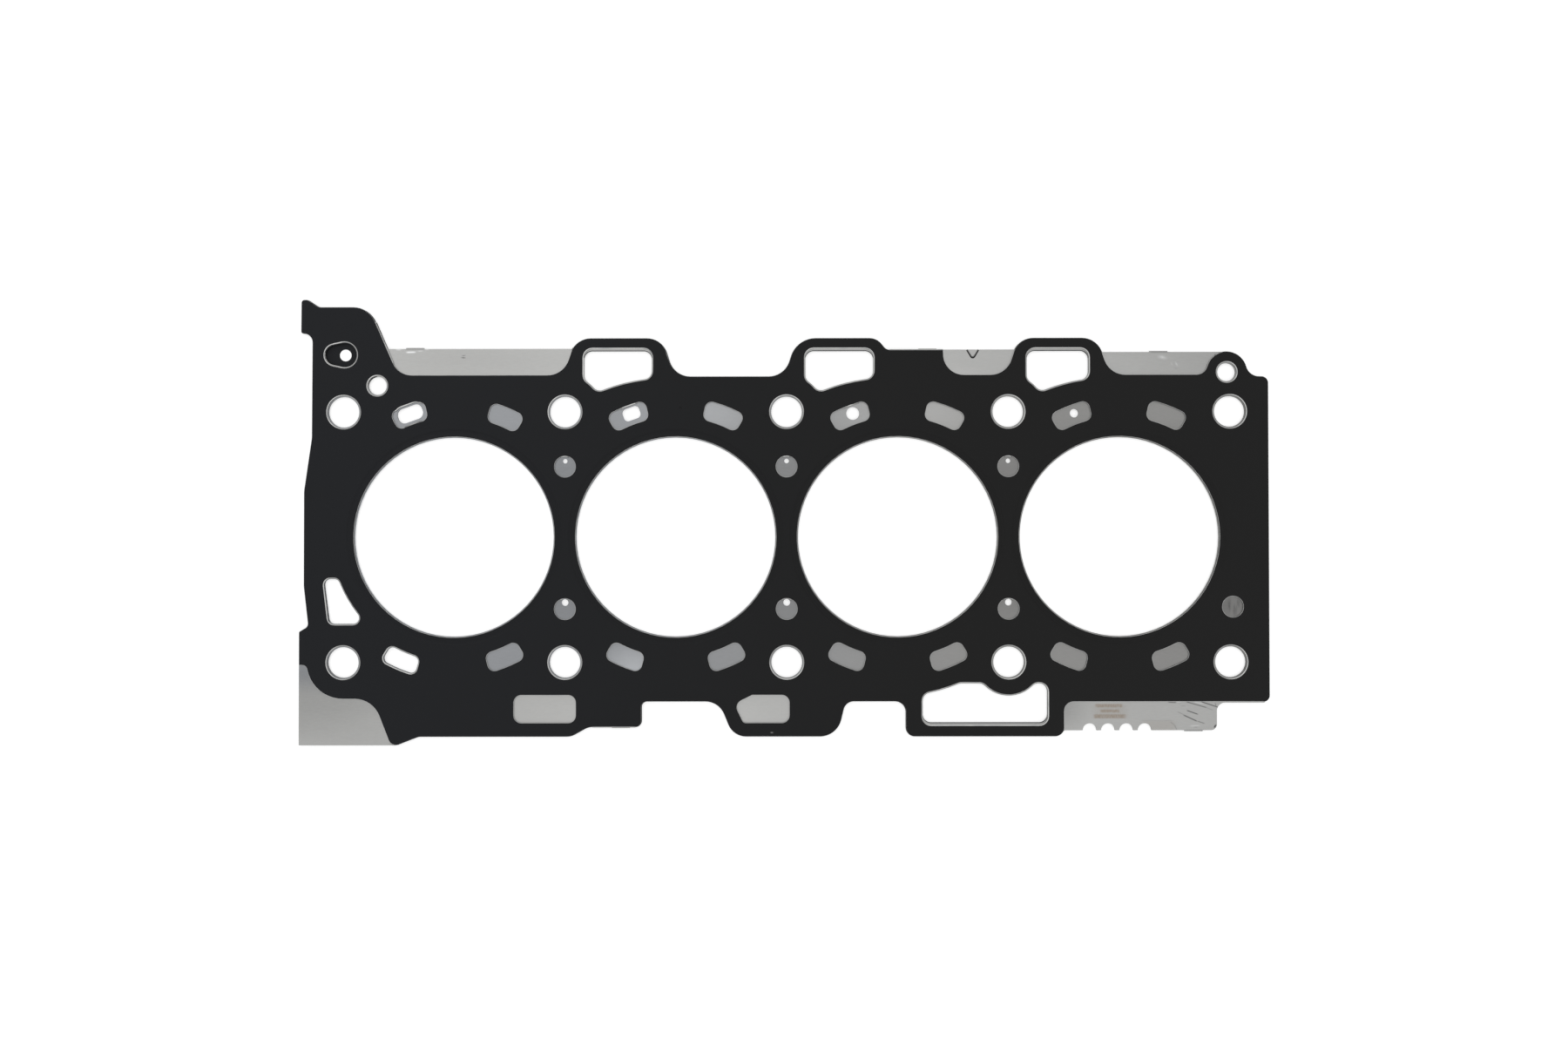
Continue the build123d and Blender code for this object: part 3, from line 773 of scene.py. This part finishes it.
def edge_band(source_name, band_name, kept, weight, width, side, material):
    """A band along the cut walls of a CAD node for which kept() is true, laid to one side of them.

    weight() gives each point of the band its strength, which the material reads as "strength"."""
    deselect()
    source = frame["nodes"][source_name]
    source.select_set(True)
    bpy.context.view_layer.objects.active = source
    bpy.ops.object.duplicate()
    band = bpy.context.active_object
    band.name = band_name
    bpy.ops.object.parent_clear(type="CLEAR_KEEP_TRANSFORM")
    bpy.ops.object.transform_apply(location=True, rotation=True, scale=True)
    bpy.ops.object.mode_set(mode="EDIT")
    bpy.ops.mesh.select_mode(type="FACE")
    bpy.ops.mesh.select_all(action="SELECT")
    bpy.ops.mesh.remove_doubles(threshold=0.001 * MM)
    bpy.ops.mesh.select_all(action="DESELECT")
    bpy.ops.object.mode_set(mode="OBJECT")
    for face in band.data.polygons:
        face.select = abs(face.normal.z) > 0.3 or not kept(face.center, face.normal)
    if all(face.select for face in band.data.polygons):
        raise RuntimeError("no wall of " + source_name + " is kept")
    bpy.ops.object.mode_set(mode="EDIT")
    bpy.ops.mesh.delete(type="FACE")
    bpy.ops.object.mode_set(mode="OBJECT")
    strength = band.data.attributes.new("strength", "FLOAT", "POINT")
    for vertex in band.data.vertices:
        strength.data[vertex.index].value = min(max(weight(vertex.co, vertex.normal), 0.0), 1.0)
    wall = band.modifiers.new("Band", "SOLIDIFY")
    wall.thickness = width
    wall.offset = side
    wall.use_even_offset = True
    bpy.ops.object.modifier_apply(modifier=wall.name)
    band.data.materials.clear()
    band.data.materials.append(material)
    for slot in band.material_slots:
        slot.link = "DATA"
        slot.material = material
    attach(band, "root")
    return band


def raise_ends(band, lift):
    """Lifts the top of a band and lowers its foot by the same amount."""
    heights = [vertex.co.z for vertex in band.data.vertices]
    middle = (min(heights) + max(heights)) / 2
    for vertex in band.data.vertices:
        vertex.co.z += lift if vertex.co.z > middle else -lift


def covered(node_name, point, down):
    """Tells whether a CAD node lies under or over a point, looking along down."""
    part = frame["nodes"][node_name]
    into_part = part.matrix_world.inverted()
    return part.ray_cast(into_part @ (point - down * LOOK_FROM), into_part.to_3x3() @ down)[0]


def from_nearest_bore(point):
    """The distance in plan from a point to the axis of the nearest bore."""
    return min(Vector((point.x - axis, point.y)).length for axis in BORE_AXES)


def over_plate(sheet_name, ledge):
    """Tells where the spacer lies beside a sheet's wall: as the ledge of an opening, or at large."""
    down = Vector((0.0, 0.0, -1.0)) if "upper" in sheet_name else Vector((0.0, 0.0, 1.0))

    def test(centre, normal):
        if not covered("spacer_plate", centre + normal * LEDGE_LEAST, down):
            return False
        if from_nearest_bore(centre) < BORE_REACH:
            return not ledge
        narrow = not covered("spacer_plate", centre + normal * LEDGE_MOST, down)
        return narrow if ledge else not narrow

    return test


def edge_of_plate(centre, normal):
    """Tells where the spacer ends within a hair of the sheets that cover it, away from the bores."""
    if from_nearest_bore(centre) < BORE_REACH:
        return False
    return covered("upper_bead_layer", centre - normal * RIM_MOST, Vector((0.0, 0.0, -1.0)))


def everywhere(point, normal):
    """Full strength at every point."""
    return 1.0


def painted_light_side(point, normal):
    """Strength of the painted light, growing on the side of an opening that lies away from the middle of
    the gasket.
    """
    outward = Vector((point.x, point.y, 0.0)).normalized().dot(normal)
    return -outward / 0.6


def port_shade_strength(point, normal):
    """Strength of the painted shade, growing on the walls of a port that face the bores."""
    facing = normal.y if point.y < 0 else -normal.y
    if point.x < END_PORT_TO_X:
        facing = max(facing, abs(normal.x))
    return (facing - 0.2) / 0.5


def far_side_of_port(centre, normal):
    """Tells whether a wall of the spacer is the side of a port that lies away from the bores."""
    if centre.x < END_PORT_TO_X and abs(centre.y - END_PORT_Y) < END_PORT_REACH:
        return normal.x > 0.8
    dowel = abs(centre.x - DOWEL_LEFT_X) < DOWEL_LEFT_REACH or centre.x > DOWEL_RIGHT_FROM_X
    facing_bores = normal.y * centre.y < -0.15 * abs(centre.y)
    return abs(centre.y) > PORT_ROWS_Y and facing_bores and not dowel


# ---- operators ----


class GASKET_OT_coated_sheets(bpy.types.Operator):
    """Give both beaded sheets their black rubber coating"""

    bl_idname = "gasket.coated_sheets"
    bl_label = "Coated sheets"
    bl_options = {"REGISTER", "UNDO"}

    def execute(self, context):
        material = coating_material(context.scene.gasket_coating, groups())
        finish_nodes(COATED_SHEETS, material)
        return {"FINISHED"}


class GASKET_OT_bare_plates(bpy.types.Operator):
    """Give the spacer and the stopper rings their rolled steel, with its marks"""

    bl_idname = "gasket.bare_plates"
    bl_label = "Spacer and stoppers"
    bl_options = {"REGISTER", "UNDO"}

    def execute(self, context):
        material = steel_material(context.scene.gasket_steel, groups())
        finish_nodes(BARE_PLATES, material)
        return {"FINISHED"}


class GASKET_OT_cut_edges(bpy.types.Operator):
    """Add the bare edge of the coated sheets beside the spacer, painted light on the ledges, and the
    painted shade rims of the ports and the outline
    """

    bl_idname = "gasket.cut_edges"
    bl_label = "Cut edges"
    bl_options = {"REGISTER", "UNDO"}

    def execute(self, context):
        settings = context.scene.gasket_steel
        material = edge_material(settings, groups(), "punched_edge_steel", 1.08)
        ledge = edge_material(settings, groups(), "ledge_steel", 1.3)
        for name in COATED_SHEETS:
            cut_name = name.replace("bead_layer", "cut_edges")
            edge_band(name, cut_name, over_plate(name, False), everywhere,
                      settings.edge_line, 1.0, material)
            # Painted light on the spacer's ledges, on their sides away from the middle.
            ledge_name = name.replace("bead_layer", "ledge_edges")
            edge_band(name, ledge_name, over_plate(name, True), painted_light_side,
                      settings.ledge_line, 1.0, ledge)
        rim = rim_material(settings, groups())
        # Painted shade on the outer sides of the ports.
        rims = edge_band("spacer_plate", "port_shade_rims", far_side_of_port, port_shade_strength,
                         settings.port_shade_width, -1.0, rim)
        raise_ends(rims, PORT_RIM_LIFT)
        # Painted shade along the outline and the narrow ledges.
        outline = edge_band("spacer_plate", "outline_shade_rims", edge_of_plate, everywhere,
                            settings.outline_shade_width, -1.0, rim)
        raise_ends(outline, OUTLINE_RIM_LIFT)
        return {"FINISHED"}


class GASKET_OT_stage(bpy.types.Operator):
    """Add the pale floor, the soft lamps, the sky and the camera"""

    bl_idname = "gasket.stage"
    bl_label = "Stage"
    bl_options = {"REGISTER", "UNDO"}

    def execute(self, context):
        settings = context.scene.gasket_stage
        build_floor(settings)
        build_sky(context.scene, settings)
        build_lamps(settings)
        build_camera(context.scene, settings)
        context.scene.view_settings.view_transform = "Standard"
        return {"FINISHED"}


def seen_ray(tree):
    """1 for the rays that show a background: straight from the camera, mirrored or through glass."""
    path = node(tree, "ShaderNodeLightPath")
    mirrored = math(tree, "MAXIMUM", path.outputs["Is Camera Ray"], path.outputs["Is Glossy Ray"])
    return math(tree, "MAXIMUM", mirrored, path.outputs["Is Transmission Ray"])


def build_floor(settings):
    """A plain pale floor that keeps the gasket's shadow."""
    deselect()
    bpy.ops.mesh.primitive_plane_add(size=settings.floor_size, location=(0.0, 0.0, -FLOOR_DROP))
    floor = bpy.context.active_object
    floor.name = "floor"
    material = bpy.data.materials.new("pale_floor")
    material.use_nodes = True
    tree = material.node_tree
    tree.nodes.clear()
    paint = node(tree, "ShaderNodeBsdfDiffuse", Color=FLOOR_TONE)
    glow = node(tree, "ShaderNodeEmission", Strength=math(tree, "MULTIPLY", seen_ray(tree), FLOOR_GLOW))
    both = tree.nodes.new("ShaderNodeAddShader")
    tree.links.new(paint.outputs[0], both.inputs[0])
    tree.links.new(glow.outputs[0], both.inputs[1])
    output = tree.nodes.new("ShaderNodeOutputMaterial")
    tree.links.new(both.outputs[0], output.inputs["Surface"])
    floor.data.materials.append(material)


def build_sky(scene, settings):
    """Even light from all round, which is plain white where it is seen."""
    world = bpy.data.worlds.new("studio")
    world.use_nodes = True
    tree = world.node_tree
    background = tree.nodes["Background"]
    background.inputs["Color"].default_value = (1.0, 1.0, 1.0, 1.0)
    strength = ramp(tree, seen_ray(tree), 0.0, 1.0, settings.sky, 1.0, smooth=False)
    tree.links.new(strength, background.inputs["Strength"])
    scene.world = world


def build_lamps(settings):
    """One large soft lamp on the gallery side and a weaker one across from it."""
    deselect()
    for name, place, size, share in LAMPS:
        bpy.ops.object.light_add(type="AREA", location=place)
        lamp = bpy.context.active_object
        lamp.name = name
        lamp.data.shape = "SQUARE"
        lamp.data.size = size
        lamp.data.energy = settings.lamp_power * share
        aim = (-lamp.location).to_track_quat("-Z", "Y")
        lamp.rotation_euler = aim.to_euler()


def build_camera(scene, settings):
    """A camera straight above the gasket, its picture's long side along the row of cylinders."""
    height = UPPER_TOP + settings.camera_height
    place = (settings.camera_x, settings.camera_y, height)
    bpy.ops.object.camera_add(location=place, rotation=settings.camera_turn)
    camera = bpy.context.active_object
    camera.name = "camera"
    camera.data.lens = camera.data.sensor_width * settings.camera_height / settings.field_width
    scene.camera = camera


class GASKET_PT_panel(bpy.types.Panel):
    """The gasket's steps and settings"""

    bl_idname = "GASKET_PT_panel"
    bl_label = "Head gasket"
    bl_space_type = "VIEW_3D"
    bl_region_type = "UI"
    bl_category = "Gasket"

    def draw(self, context):
        layout = self.layout
        for group, operators in (
            (context.scene.gasket_coating, ("gasket.coated_sheets",)),
            (context.scene.gasket_steel, ("gasket.bare_plates", "gasket.cut_edges")),
            (context.scene.gasket_stage, ("gasket.stage",)),
        ):
            box = layout.box()
            for name in group.__annotations__:
                box.prop(group, name)
            for operator in operators:
                box.operator(operator)


CLASSES = (
    CoatingSettings,
    SteelSettings,
    StageSettings,
    GASKET_OT_coated_sheets,
    GASKET_OT_bare_plates,
    GASKET_OT_cut_edges,
    GASKET_OT_stage,
    GASKET_PT_panel,
)


def register():
    """Adds the classes and the scene's settings."""
    for item in CLASSES:
        bpy.utils.register_class(item)
    bpy.types.Scene.gasket_coating = bpy.props.PointerProperty(type=CoatingSettings)
    bpy.types.Scene.gasket_steel = bpy.props.PointerProperty(type=SteelSettings)
    bpy.types.Scene.gasket_stage = bpy.props.PointerProperty(type=StageSettings)


def unregister():
    """Takes them away again."""
    del bpy.types.Scene.gasket_stage
    del bpy.types.Scene.gasket_steel
    del bpy.types.Scene.gasket_coating
    for item in reversed(CLASSES):
        bpy.utils.unregister_class(item)


def main():
    """Builds everything in order."""
    register()
    bpy.ops.gasket.coated_sheets()
    bpy.ops.gasket.bare_plates()
    bpy.ops.gasket.cut_edges()
    bpy.ops.gasket.stage()


if __name__ == "__main__":
    main()
